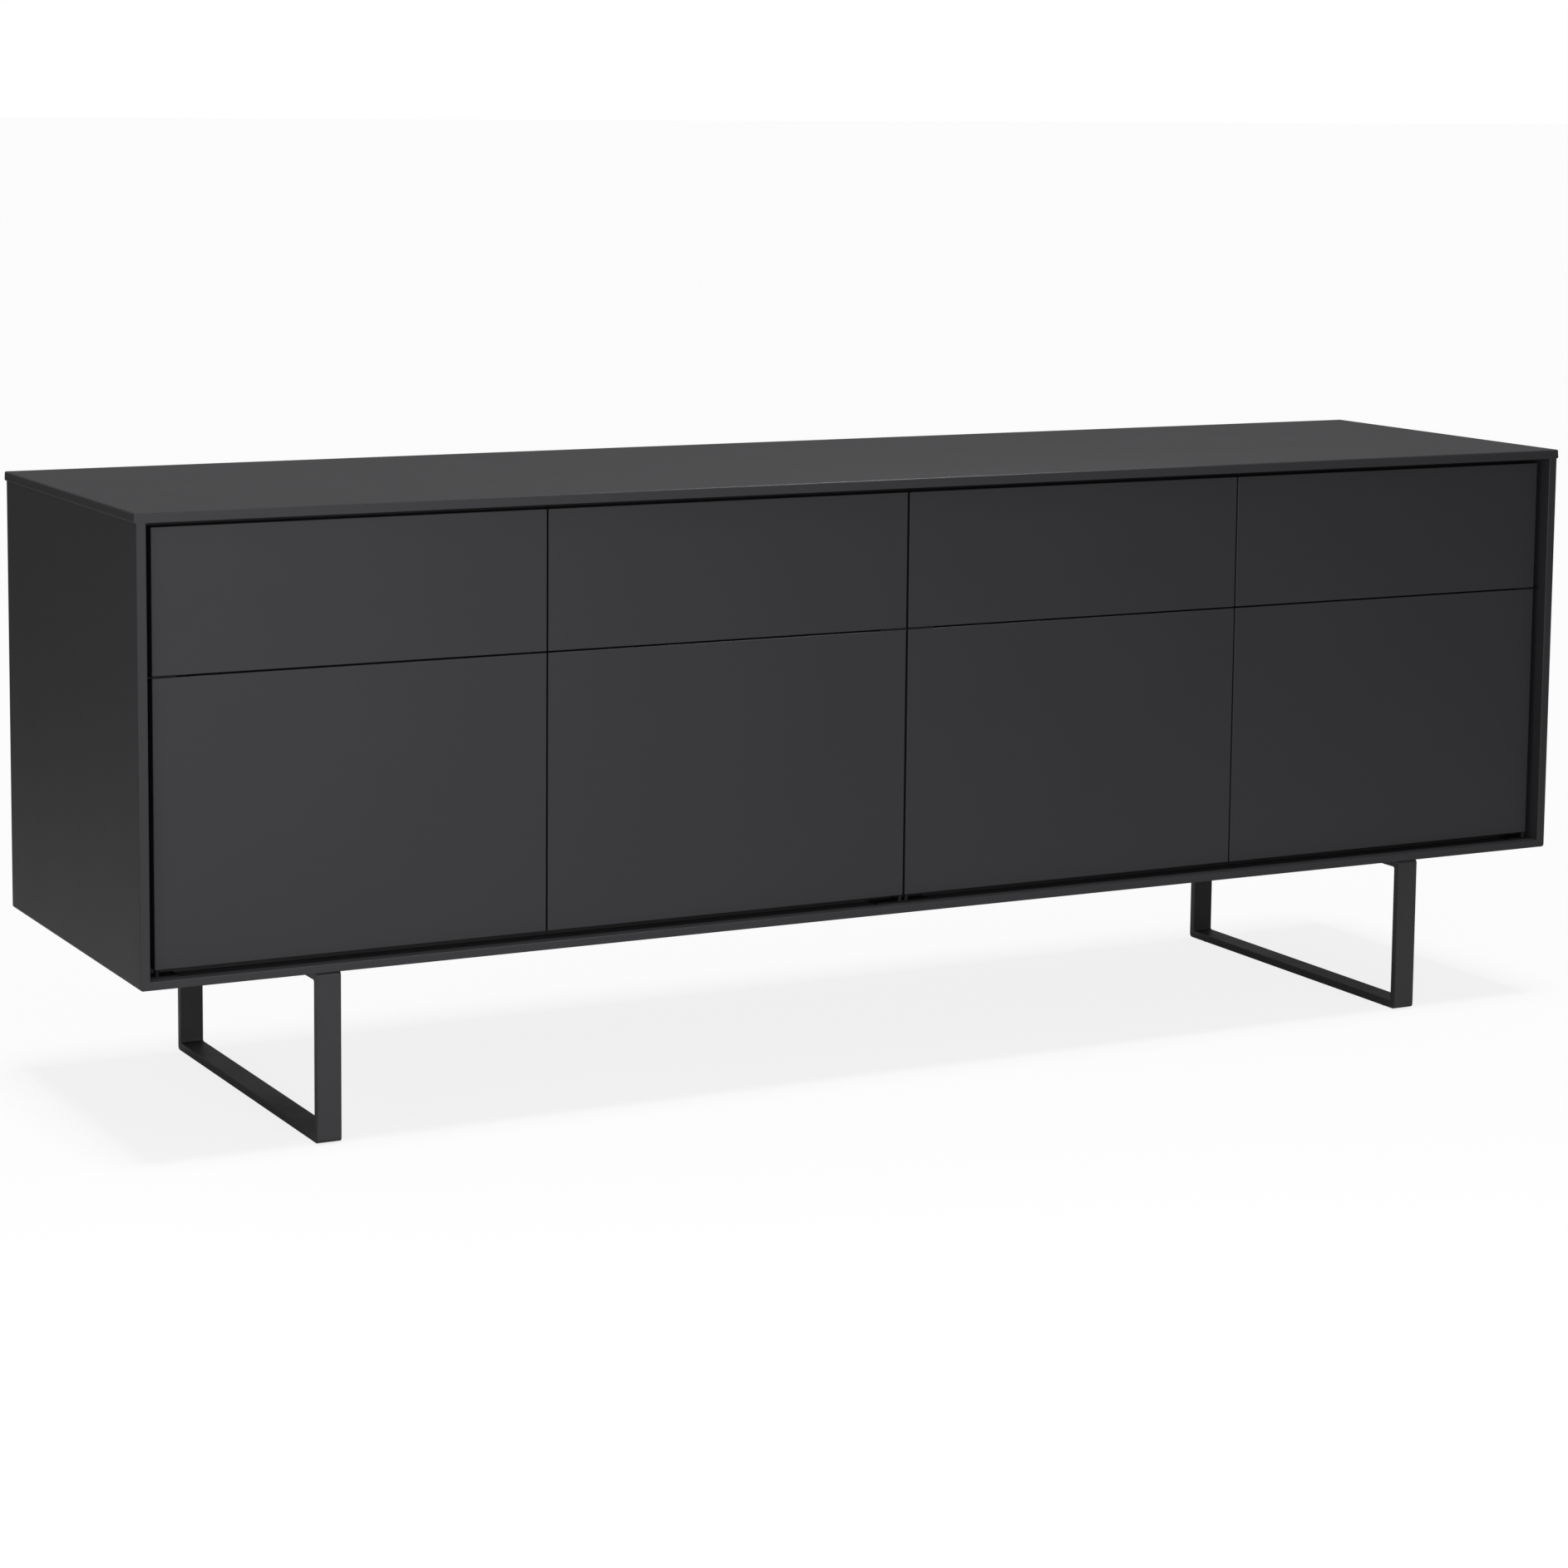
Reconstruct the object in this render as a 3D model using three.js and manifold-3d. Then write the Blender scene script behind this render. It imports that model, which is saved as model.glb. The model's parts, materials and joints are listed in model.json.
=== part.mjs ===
// Low sideboard with four drawers over four doors, on two sled frames of flat bar.
// Millimetres, +Z up, origin on the floor under the middle, front towards -Y.
// A thin outer frame wraps an inner cabinet. Drawer fronts and doors sit back inside
// the frame with a shadow gap all round, and have no handles.

import * as THREE from 'three';
import { mergeVertices } from 'three/addons/utils/BufferGeometryUtils.js';
import Module from 'manifold-3d';

const wasm = await Module();
wasm.setup();

// Driving dimensions
const WIDTH = 2000;
const DEPTH = 500;
const HEIGHT = 750;

const TOP_THICKNESS = 12;
const TOP_OVERHANG = 2.5;
const FRAME_SIDE = 12;
const FRAME_BOTTOM = 10;
const CARCASS_Z = 205;

const FRONT_RECESS = 14;
const FRONT_THICKNESS = 19;
const SHADOW_SIDE = 9.5;
const SHADOW_TOP = 6.5;
const SHADOW_BOTTOM = 9.5;
const CENTRE_SEAM = 3;
const PAIR_SEAM = 2;
const ROW_SEAM = 2;
const ROW_SEAM_Z = 561;

const BOARD = 16;
const DIVIDER = 19;
const CABINET_SETBACK = 3;
const BACK_THICKNESS = 6;
const BACK_INSET = 2;
const SHELF_THICKNESS = 16;
const SHELF_CLEARANCE = 1;
const SHELF_SETBACK = 20;

const SLED_X = 770;
const SLED_DEPTH = 495;
const BAR_WIDTH = 30;
const BAR_THICKNESS = 10;
const BEND_OUTER = 5;
const BEND_INNER = 2.5;
const GLIDE_RADIUS = 11;
const GLIDE_HEIGHT = 2;
const GLIDE_Y = 215;

const PIVOT_INSET = 3;
const PIN_RADIUS = 1.5;
const PIN_BORE_RADIUS = 1.8;
const PIN_LENGTH = 10;
const PIN_BORE_DEPTH = 12;
const BOSS_RADIUS = 3;
const PIVOT_PLATE_LENGTH = 38;
const PIVOT_BASE_THICKNESS = 2;
const PIVOT_ARM_THICKNESS = 1;
const PIVOT_FLANGE_THICKNESS = 1.5;

const LATCH_SIZE = 14;
const LATCH_LENGTH = 55;
const LATCH_FROM_EDGE = 25;
const LATCH_SETBACK = 2;
const PLUNGER_RADIUS = 4;
const PLUNGER_LENGTH = 52;
const PLUNGER_CLEARANCE = 0.3;
const LATCH_BORE_DEPTH = 50;

const BOX_SIDE_CLEARANCE = 6;
const BOX_WALL = 13;
const BOX_LENGTH = 430;
const BOX_HEIGHT = 117;
const BOX_LIFT = 14;
const BOX_BOTTOM_THICKNESS = 6;
const BOX_BOTTOM_LIFT = 10;
const GROOVE_DEPTH = 6;
const FIT_GAP = 0.3;

const RUNNER_LENGTH = 400;
const RUNNER_SETBACK = 2.5;
const RUNNER_LIFT = 3;
const RUNNER_RAIL_WIDTH = 28;
const RUNNER_RAIL_HEIGHT = 9;
const RUNNER_LEAF_HEIGHT = 28;
const RUNNER_LEAF_THICKNESS = 2;

// Derived planes, from outside to inside
const TOP_BOARD_Z = HEIGHT - TOP_THICKNESS;
const CARCASS_X = WIDTH / 2 - TOP_OVERHANG;
const CARCASS_FRONT = -DEPTH / 2;
const CARCASS_BACK = DEPTH / 2;
const RECESS_X = CARCASS_X - FRAME_SIDE;
const RECESS_Z0 = CARCASS_Z + FRAME_BOTTOM;
const RECESS_Z1 = TOP_BOARD_Z;
const FRONT_Y = CARCASS_FRONT + FRONT_RECESS;
const FRONT_BACK_Y = FRONT_Y + FRONT_THICKNESS;
const CABINET_Y = FRONT_BACK_Y + CABINET_SETBACK;
const BACK_Y = CARCASS_BACK - BACK_INSET - BACK_THICKNESS;
const INNER_X = RECESS_X - BOARD;
const DIVIDER_X = DIVIDER / 2;
const CABINET_Z0 = RECESS_Z0 + BOARD;
const CABINET_Z1 = RECESS_Z1 - BOARD;
const DECK_Z0 = ROW_SEAM_Z - BOARD / 2;
const DECK_Z1 = ROW_SEAM_Z + BOARD / 2;
const DOOR_Z = [RECESS_Z0 + SHADOW_BOTTOM, ROW_SEAM_Z - ROW_SEAM / 2];
const DRAWER_Z = [ROW_SEAM_Z + ROW_SEAM / 2, RECESS_Z1 - SHADOW_TOP];
const FRONTS_X = RECESS_X - SHADOW_SIDE;
const FRONT_WIDTH = (FRONTS_X - CENTRE_SEAM / 2 - PAIR_SEAM) / 2;
const PAIR_SEAM_X = CENTRE_SEAM / 2 + FRONT_WIDTH + PAIR_SEAM / 2;
const BOX_Z = DECK_Z1 + BOX_LIFT;

// One entry per column of fronts, left to right. hinge is the side the door turns on.
const COLUMNS = [
  { x: [-FRONTS_X, -FRONTS_X + FRONT_WIDTH], hinge: -1 },
  { x: [-CENTRE_SEAM / 2 - FRONT_WIDTH, -CENTRE_SEAM / 2], hinge: 1 },
  { x: [CENTRE_SEAM / 2, CENTRE_SEAM / 2 + FRONT_WIDTH], hinge: -1 },
  { x: [FRONTS_X - FRONT_WIDTH, FRONTS_X], hinge: 1 },
];

// Finishes
const finish = (color, roughness, metalness) =>
  new THREE.MeshStandardMaterial({ color, roughness, metalness });
const lacquer = finish(0x424145, 0.5, 0);
const interior = finish(0x4a494c, 0.6, 0);
const steelPaint = finish(0x3c3c3f, 0.45, 0.3);
const zinc = finish(0xa8abb0, 0.35, 0.9);
const plastic = finish(0x1c1c1e, 0.55, 0);

// Solids
const box = (x, y, z) => {
  const geometry = new THREE.BoxGeometry(x[1] - x[0], y[1] - y[0], z[1] - z[0]);
  return geometry.translate((x[0] + x[1]) / 2, (y[0] + y[1]) / 2, (z[0] + z[1]) / 2);
};

const rectangle = (Outline, x0, y0, x1, y1, radius = 0) => {
  const path = new Outline();
  if (radius === 0) {
    path.moveTo(x0, y0).lineTo(x1, y0).lineTo(x1, y1).lineTo(x0, y1).closePath();
    return path;
  }
  path.moveTo(x0 + radius, y0);
  path.absarc(x1 - radius, y0 + radius, radius, -Math.PI / 2, 0);
  path.absarc(x1 - radius, y1 - radius, radius, 0, Math.PI / 2);
  path.absarc(x0 + radius, y1 - radius, radius, Math.PI / 2, Math.PI);
  path.absarc(x0 + radius, y0 + radius, radius, Math.PI, Math.PI * 1.5);
  return path;
};

const extrude = (outline, depth, curveSegments = 6) =>
  new THREE.ExtrudeGeometry(outline, { depth, curveSegments, bevelEnabled: false });

// An outline drawn in Y and Z, swept along +X from x0
const sweepX = (outline, x0, length) => {
  const turn = new THREE.Matrix4().makeBasis(
    new THREE.Vector3(0, 1, 0),
    new THREE.Vector3(0, 0, 1),
    new THREE.Vector3(1, 0, 0),
  );
  return extrude(outline, length).applyMatrix4(turn).translate(x0, 0, 0);
};

// An outline drawn in X and Z, swept along -Y from y1
const sweepY = (outline, y1, length) => {
  const turn = new THREE.Matrix4().makeBasis(
    new THREE.Vector3(1, 0, 0),
    new THREE.Vector3(0, 0, 1),
    new THREE.Vector3(0, -1, 0),
  );
  return extrude(outline, length).applyMatrix4(turn).translate(0, y1, 0);
};

const disc = (x, y, radius) => {
  const outline = new THREE.Shape();
  outline.absarc(x, y, radius, 0, Math.PI * 2);
  return outline;
};

const rodZ = (x, y, z, radius) =>
  extrude(disc(x, y, radius), z[1] - z[0], 12).translate(0, 0, z[0]);

const toSolid = (geometry) => {
  const bare = geometry.clone();
  bare.deleteAttribute('normal');
  bare.deleteAttribute('uv');
  const merged = mergeVertices(bare, 1e-4);
  return new wasm.Manifold(
    new wasm.Mesh({
      numProp: 3,
      vertProperties: Float32Array.from(merged.attributes.position.array),
      triVerts: Uint32Array.from(merged.index.array),
    }),
  );
};

const toGeometry = (solid) => {
  const mesh = solid.getMesh();
  const geometry = new THREE.BufferGeometry();
  geometry.setAttribute('position', new THREE.BufferAttribute(mesh.vertProperties, 3));
  geometry.setIndex(new THREE.BufferAttribute(mesh.triVerts, 1));
  geometry.computeVertexNormals();
  return geometry;
};

const join = (first, ...others) =>
  toGeometry(others.reduce((sum, next) => sum.add(toSolid(next)), toSolid(first)));

const cut = (first, ...others) =>
  toGeometry(others.reduce((left, next) => left.subtract(toSolid(next)), toSolid(first)));

const sideboard = new THREE.Group();
sideboard.name = 'sideboard';

const add = (name, geometry, material) => {
  const mesh = new THREE.Mesh(geometry, material);
  mesh.name = name;
  sideboard.add(mesh);
};

// Outer frame: a top board laid over two sides and a bottom, flush with them in front
const addFrame = () => {
  const y = [CARCASS_FRONT, CARCASS_BACK];
  const sideZ = [CARCASS_Z, TOP_BOARD_Z];
  add('top_board', box([-WIDTH / 2, WIDTH / 2], y, [TOP_BOARD_Z, HEIGHT]), lacquer);
  add('side_left', box([-CARCASS_X, -RECESS_X], y, sideZ), lacquer);
  add('side_right', box([RECESS_X, CARCASS_X], y, sideZ), lacquer);
  add('carcass_bottom', box([-RECESS_X, RECESS_X], y, [CARCASS_Z, RECESS_Z0]), lacquer);
};

// Inner cabinet: its front edges stop just behind the doors
const addCabinet = () => {
  const y = [CABINET_Y, BACK_Y];
  const fullZ = [RECESS_Z0, CABINET_Z1];
  add('inner_side_left', box([-RECESS_X, -INNER_X], y, fullZ), interior);
  add('inner_side_right', box([INNER_X, RECESS_X], y, fullZ), interior);
  add('sub_top', box([-RECESS_X, RECESS_X], y, [CABINET_Z1, RECESS_Z1]), interior);
  add('inner_bottom', box([-INNER_X, INNER_X], y, [RECESS_Z0, CABINET_Z0]), interior);
  add('centre_divider', box([-DIVIDER_X, DIVIDER_X], y, [CABINET_Z0, CABINET_Z1]), interior);
  const backY = [BACK_Y, BACK_Y + BACK_THICKNESS];
  add('back_panel', box([-RECESS_X, RECESS_X], backY, [RECESS_Z0, RECESS_Z1]), interior);

  const shelfMiddle = (CABINET_Z0 + DECK_Z0) / 2;
  const shelfZ = [shelfMiddle - SHELF_THICKNESS / 2, shelfMiddle + SHELF_THICKNESS / 2];
  const shelfY = [CABINET_Y + SHELF_SETBACK, BACK_Y - SHELF_CLEARANCE];
  for (const [label, side] of [['left', -1], ['right', 1]]) {
    const span = (from, to) => [side * from, side * to].sort((a, b) => a - b);
    add(`deck_${label}`, box(span(DIVIDER_X, INNER_X), y, [DECK_Z0, DECK_Z1]), interior);
    const partitionX = span(PAIR_SEAM_X - BOARD / 2, PAIR_SEAM_X + BOARD / 2);
    add(`drawer_partition_${label}`, box(partitionX, y, [DECK_Z1, CABINET_Z1]), interior);
    const shelfX = span(DIVIDER_X + SHELF_CLEARANCE, INNER_X - SHELF_CLEARANCE);
    add(`shelf_${label}`, box(shelfX, shelfY, shelfZ), interior);
  }
};

// Sled frames: closed loops of flat bar, front to back, on round glides
const addSleds = () => {
  const reach = SLED_DEPTH / 2;
  for (const [label, side] of [['left', -1], ['right', 1]]) {
    const loop = rectangle(THREE.Shape, -reach, GLIDE_HEIGHT, reach, CARCASS_Z, BEND_OUTER);
    loop.holes.push(
      rectangle(
        THREE.Path,
        -reach + BAR_THICKNESS,
        GLIDE_HEIGHT + BAR_THICKNESS,
        reach - BAR_THICKNESS,
        CARCASS_Z - BAR_THICKNESS,
        BEND_INNER,
      ),
    );
    const x = side * SLED_X;
    add(`sled_${label}`, sweepX(loop, x - BAR_WIDTH / 2, BAR_WIDTH), steelPaint);
    for (const [end, y] of [['front', -GLIDE_Y], ['rear', GLIDE_Y]]) {
      add(`glide_${end}_${label}`, rodZ(x, y, [0, GLIDE_HEIGHT], GLIDE_RADIUS), plastic);
    }
  }
};

// The upright axis a door turns on, at its front outer corner
const pivotX = ({ x, hinge }) => (hinge < 0 ? x[0] + PIVOT_INSET : x[1] - PIVOT_INSET);
const PIVOT_Y = FRONT_Y + PIVOT_INSET;

const addDoors = () => {
  COLUMNS.forEach((column, index) => {
    const slab = box(column.x, [FRONT_Y, FRONT_BACK_Y], DOOR_Z);
    const lowBore = [DOOR_Z[0] - 1, DOOR_Z[0] + PIN_BORE_DEPTH];
    const highBore = [DOOR_Z[1] - PIN_BORE_DEPTH, DOOR_Z[1] + 1];
    const bores = [lowBore, highBore].map((z) =>
      rodZ(pivotX(column), PIVOT_Y, z, PIN_BORE_RADIUS),
    );
    add(`door_${index + 1}`, cut(slab, ...bores), lacquer);
  });
};

// Pivot plates carry a pin for each door beside them. The lower plate stands on the
// bottom board, the upper one is a thin arm in the seam, hooked over the deck's edge.
const addPivots = () => {
  const places = [
    { label: 'left', x: [-RECESS_X, -RECESS_X + PIVOT_PLATE_LENGTH], doors: [0] },
    { label: 'centre', x: [-PIVOT_PLATE_LENGTH, PIVOT_PLATE_LENGTH], doors: [1, 2] },
    { label: 'right', x: [RECESS_X - PIVOT_PLATE_LENGTH, RECESS_X], doors: [3] },
  ];
  const baseZ = [RECESS_Z0, RECESS_Z0 + PIVOT_BASE_THICKNESS];
  const armZ = [ROW_SEAM_Z - PIVOT_ARM_THICKNESS / 2, ROW_SEAM_Z + PIVOT_ARM_THICKNESS / 2];
  for (const { label, x, doors } of places) {
    const axes = doors.map((door) => pivotX(COLUMNS[door]));
    const bosses = axes.map((axis) =>
      rodZ(axis, PIVOT_Y, [baseZ[0] + 1, DOOR_Z[0] - FIT_GAP], BOSS_RADIUS),
    );
    const lowPins = axes.map((axis) =>
      rodZ(axis, PIVOT_Y, [baseZ[0] + 1, DOOR_Z[0] + PIN_LENGTH], PIN_RADIUS),
    );
    const base = box(x, [FRONT_Y, CABINET_Y - FIT_GAP], baseZ);
    add(`pivot_lower_${label}`, join(base, ...bosses, ...lowPins), steelPaint);

    const highPins = axes.map((axis) =>
      rodZ(axis, PIVOT_Y, [DOOR_Z[1] - PIN_LENGTH, armZ[1] - PIVOT_ARM_THICKNESS / 2], PIN_RADIUS),
    );
    const arm = box(x, [FRONT_Y, CABINET_Y], armZ);
    const flange = box(x, [CABINET_Y - PIVOT_FLANGE_THICKNESS, CABINET_Y], [DECK_Z0, armZ[1]]);
    add(`pivot_upper_${label}`, join(arm, flange, ...highPins), steelPaint);
  }
};

// Push latches hang under the deck, one by each door's free edge
const addLatches = () => {
  COLUMNS.forEach(({ x, hinge }, index) => {
    const middle = hinge < 0 ? x[1] - LATCH_FROM_EDGE : x[0] + LATCH_FROM_EDGE;
    const half = LATCH_SIZE / 2;
    const front = CABINET_Y + LATCH_SETBACK;
    const z = DECK_Z0 - half;
    const rod = (radius, y0, length) => sweepY(disc(middle, z, radius), y0 + length, length);
    const block = box(
      [middle - half, middle + half],
      [front, front + LATCH_LENGTH],
      [DECK_Z0 - LATCH_SIZE, DECK_Z0],
    );
    const bore = rod(PLUNGER_RADIUS + PLUNGER_CLEARANCE, front - 1, LATCH_BORE_DEPTH + 1);
    add(`latch_housing_${index + 1}`, cut(block, bore), plastic);
    const tip = FRONT_BACK_Y + FIT_GAP;
    add(`latch_plunger_${index + 1}`, rod(PLUNGER_RADIUS, tip, PLUNGER_LENGTH), plastic);
  });
};

// Drawers: a front, a four-sided box and a bottom let into its grooves
const addDrawers = () => {
  const leafX = RUNNER_LEAF_THICKNESS;
  const railZ = DECK_Z1 + RUNNER_LIFT;
  COLUMNS.forEach(({ x }, index) => {
    const number = index + 1;
    add(`drawer_front_${number}`, box(x, [FRONT_Y, FRONT_BACK_Y], DRAWER_Z), lacquer);

    const walls = [
      [-INNER_X, -PAIR_SEAM_X - BOARD / 2],
      [-PAIR_SEAM_X + BOARD / 2, -DIVIDER_X],
      [DIVIDER_X, PAIR_SEAM_X - BOARD / 2],
      [PAIR_SEAM_X + BOARD / 2, INNER_X],
    ][index];
    const outerX = [walls[0] + BOX_SIDE_CLEARANCE, walls[1] - BOX_SIDE_CLEARANCE];
    const outerY = [FRONT_BACK_Y, FRONT_BACK_Y + BOX_LENGTH];
    const inset = ([low, high], by) => [low + by, high - by];
    const innerX = inset(outerX, BOX_WALL);
    const innerY = inset(outerY, BOX_WALL);
    const ring = rectangle(THREE.Shape, outerX[0], outerY[0], outerX[1], outerY[1]);
    ring.holes.push(rectangle(THREE.Path, innerX[0], innerY[0], innerX[1], innerY[1]));
    const bottomZ = [BOX_Z + BOX_BOTTOM_LIFT, BOX_Z + BOX_BOTTOM_LIFT + BOX_BOTTOM_THICKNESS];
    const groove = box(
      inset(innerX, -GROOVE_DEPTH),
      inset(innerY, -GROOVE_DEPTH),
      inset(bottomZ, -FIT_GAP),
    );
    const sides = extrude(ring, BOX_HEIGHT).translate(0, 0, BOX_Z);
    add(`drawer_box_${number}`, cut(sides, groove), interior);
    const reach = GROOVE_DEPTH - FIT_GAP;
    const bottom = box(inset(innerX, -reach), inset(innerY, -reach), bottomZ);
    add(`drawer_bottom_${number}`, bottom, interior);

    for (const [label, wall, side] of [['left', walls[0], 1], ['right', walls[1], -1]]) {
      const profile = new THREE.Shape();
      profile.moveTo(wall, railZ);
      profile.lineTo(wall + side * RUNNER_RAIL_WIDTH, railZ);
      profile.lineTo(wall + side * RUNNER_RAIL_WIDTH, railZ + RUNNER_RAIL_HEIGHT);
      profile.lineTo(wall + side * leafX, railZ + RUNNER_RAIL_HEIGHT);
      profile.lineTo(wall + side * leafX, railZ + RUNNER_LEAF_HEIGHT);
      profile.lineTo(wall, railZ + RUNNER_LEAF_HEIGHT);
      const rearY = CABINET_Y + RUNNER_SETBACK + RUNNER_LENGTH;
      add(`runner_${number}_${label}`, sweepY(profile, rearY, RUNNER_LENGTH), zinc);
    }
  });
};

addFrame();
addCabinet();
addSleds();
addDoors();
addPivots();
addLatches();
addDrawers();

export default sideboard;
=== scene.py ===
# %% [markdown]
# # A low sideboard on sled legs
#
# The piece is a long cabinet in matte anthracite lacquer. A thin outer frame wraps four drawer
# fronts and four doors, which sit back inside it with a dark shadow gap all round. Nothing has a
# handle: fronts are pushed to open. Two closed loops of flat steel bar carry it.
#
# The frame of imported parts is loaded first. It holds every size and place, so each cell below
# asks it where a part is, and adds only what a maker's hand adds: rounded edges, joints, screws
# and finishes.

# %% Load the frame
import json
import math

import bmesh
import bpy
from mathutils import Euler, Matrix, Vector


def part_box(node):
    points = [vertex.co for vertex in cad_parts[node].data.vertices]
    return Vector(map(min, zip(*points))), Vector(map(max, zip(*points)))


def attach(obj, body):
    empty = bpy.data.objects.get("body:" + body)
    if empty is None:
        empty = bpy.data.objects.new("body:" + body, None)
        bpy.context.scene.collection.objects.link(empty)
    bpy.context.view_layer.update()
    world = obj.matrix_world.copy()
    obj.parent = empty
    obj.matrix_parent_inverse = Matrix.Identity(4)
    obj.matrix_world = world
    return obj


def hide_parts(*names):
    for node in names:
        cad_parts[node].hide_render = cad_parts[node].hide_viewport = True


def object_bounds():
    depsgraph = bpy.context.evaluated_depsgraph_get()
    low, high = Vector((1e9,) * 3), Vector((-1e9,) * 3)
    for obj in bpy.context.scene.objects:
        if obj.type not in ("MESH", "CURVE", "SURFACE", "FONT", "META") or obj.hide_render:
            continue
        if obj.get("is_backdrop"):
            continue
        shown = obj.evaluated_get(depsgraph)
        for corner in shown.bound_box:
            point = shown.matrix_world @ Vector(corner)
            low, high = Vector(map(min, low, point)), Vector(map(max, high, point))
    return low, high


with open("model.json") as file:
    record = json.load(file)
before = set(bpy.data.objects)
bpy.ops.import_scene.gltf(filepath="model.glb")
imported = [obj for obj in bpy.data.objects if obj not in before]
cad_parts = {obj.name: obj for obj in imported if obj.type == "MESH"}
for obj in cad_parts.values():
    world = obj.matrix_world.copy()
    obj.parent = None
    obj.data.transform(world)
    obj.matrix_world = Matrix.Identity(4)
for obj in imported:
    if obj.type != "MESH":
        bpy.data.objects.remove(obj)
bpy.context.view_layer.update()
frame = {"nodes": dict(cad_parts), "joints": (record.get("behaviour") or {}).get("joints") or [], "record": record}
MM = 0.001
COLUMNS = range(1, 5)  # drawers and doors are numbered from the left

# %% [markdown]
# ## Working by hand, in code
#
# Blender's operators act on whatever is selected, just as they do under a mouse. So every step
# first selects one piece alone. A piece's place always ends up in its mesh, with the object at
# the origin, because the finishes read Object coordinates and would slide otherwise.


# %% Helpers for selecting and settling
def alone(piece):
    """Selects one piece, and nothing else."""
    bpy.ops.object.select_all(action="DESELECT")
    piece.select_set(True)
    bpy.context.view_layer.objects.active = piece


def settle(piece, name):
    """Moves the piece's place, turn and size into its mesh, and names it."""
    alone(piece)
    bpy.ops.object.transform_apply(location=True, rotation=True, scale=True)
    piece.name = name
    piece.data.name = name
    return piece


def pick_edges(piece, wanted):
    """Selects, in edit mode, the edges whose two ends pass the test."""
    bpy.ops.mesh.select_mode(type="EDGE")
    bpy.ops.mesh.select_all(action="DESELECT")
    mesh = bmesh.from_edit_mesh(piece.data)
    for edge in mesh.edges:
        edge.select_set(wanted(edge.verts[0].co, edge.verts[1].co))
    bmesh.update_edit_mesh(piece.data)


def with_modifier(piece, kind, **settings):
    """Adds a modifier, sets it and applies it."""
    alone(piece)
    bpy.ops.object.modifier_add(type=kind)
    modifier = piece.modifiers[-1]
    for key, value in settings.items():
        setattr(modifier, key, value)
    bpy.ops.object.modifier_apply(modifier=modifier.name)
    return piece


# %% [markdown]
# ## Boards
#
# Nearly everything here is a board. A cube primitive is added at the board's size and place, and
# then its edges are broken, because no real edge is sharp: the thin highlight along a rounded
# edge is what makes a dark lacquered board readable at all.
#
# A wide face next to a small rounding shades badly if their normals are simply averaged: the
# rounding bends the whole face. The Weighted Normal modifier gives the wide face its own flat
# normal and leaves the turn to the rounding.


# %% Helpers for making boards
def block(name, low, high):
    """A sharp-edged block between two corners."""
    low, high = Vector(low), Vector(high)
    bpy.ops.object.select_all(action="DESELECT")
    bpy.ops.mesh.primitive_cube_add(size=1, location=(low + high) / 2)
    piece = bpy.context.active_object
    piece.scale = high - low
    return settle(piece, name)


def round_some(piece, radius, segments, wanted):
    """Rounds the edges that pass the test."""
    alone(piece)
    bpy.ops.object.mode_set(mode="EDIT")
    pick_edges(piece, wanted)
    bpy.ops.mesh.bevel(offset=radius, segments=segments, profile=0.5, affect="EDGES")
    bpy.ops.object.mode_set(mode="OBJECT")
    return piece


SHARP = math.radians(40)


def soften(piece, radius, segments=2):
    """Rounds every edge that is still sharp."""
    return with_modifier(
        piece, "BEVEL", width=radius, segments=segments, limit_method="ANGLE", angle_limit=SHARP
    )


def smooth(piece):
    """Smooth shading that keeps wide faces flat."""
    alone(piece)
    bpy.ops.object.shade_smooth_by_angle(angle=math.radians(50))
    return with_modifier(piece, "WEIGHTED_NORMAL", keep_sharp=True, weight=50)


def subtract(piece, *cutters):
    """Cuts the cutters out of the piece and removes them."""
    for cutter in cutters:
        with_modifier(piece, "BOOLEAN", operation="DIFFERENCE", solver="EXACT", object=cutter)
        bpy.data.objects.remove(cutter)
    return piece


def rod(name, start, end, radius, sides=24):
    """A round rod between two points on one axis."""
    start, end = Vector(start), Vector(end)
    along = end - start
    bpy.ops.object.select_all(action="DESELECT")
    bpy.ops.mesh.primitive_cylinder_add(
        vertices=sides, radius=radius, depth=along.length, location=(start + end) / 2
    )
    piece = bpy.context.active_object
    piece.rotation_mode = "QUATERNION"
    piece.rotation_quaternion = Vector((0, 0, 1)).rotation_difference(along)
    return settle(piece, name)


# %% [markdown]
# ## One skin for every finish
#
# Lacquer, powder coat, melamine and moulded plastic differ in scale, not in kind. Each has a
# slow drift of tone across the surface, a fine grain that only the light finds, and a roughness
# that is never quite even. One node group makes those three things from noise on Object
# coordinates, and each finish sets its own numbers. The group gives out values, and the shader
# stays outside it.

# %% Build the skin group
NOISE_LOW, NOISE_HIGH = 0.3, 0.7  # nearly all of a noise's values lie between these
PATCH_SCALE = 11.0


def add_group_sockets(group, direction, sockets):
    for label, kind, default in sockets:
        socket = group.interface.new_socket(name=label, in_out=direction, socket_type=kind)
        if default is not None:
            socket.default_value = default


def noise(nodes, detail, roughness):
    node = nodes.new("ShaderNodeTexNoise")
    node.inputs["Detail"].default_value = detail
    node.inputs["Roughness"].default_value = roughness
    return node


def ramp(nodes, links, value, low, high):
    """Spreads a noise between two sockets' values."""
    node = nodes.new("ShaderNodeMapRange")
    node.inputs["From Min"].default_value = NOISE_LOW
    node.inputs["From Max"].default_value = NOISE_HIGH
    links.new(value, node.inputs["Value"])
    links.new(low, node.inputs["To Min"])
    links.new(high, node.inputs["To Max"])
    return node.outputs["Result"]


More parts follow.
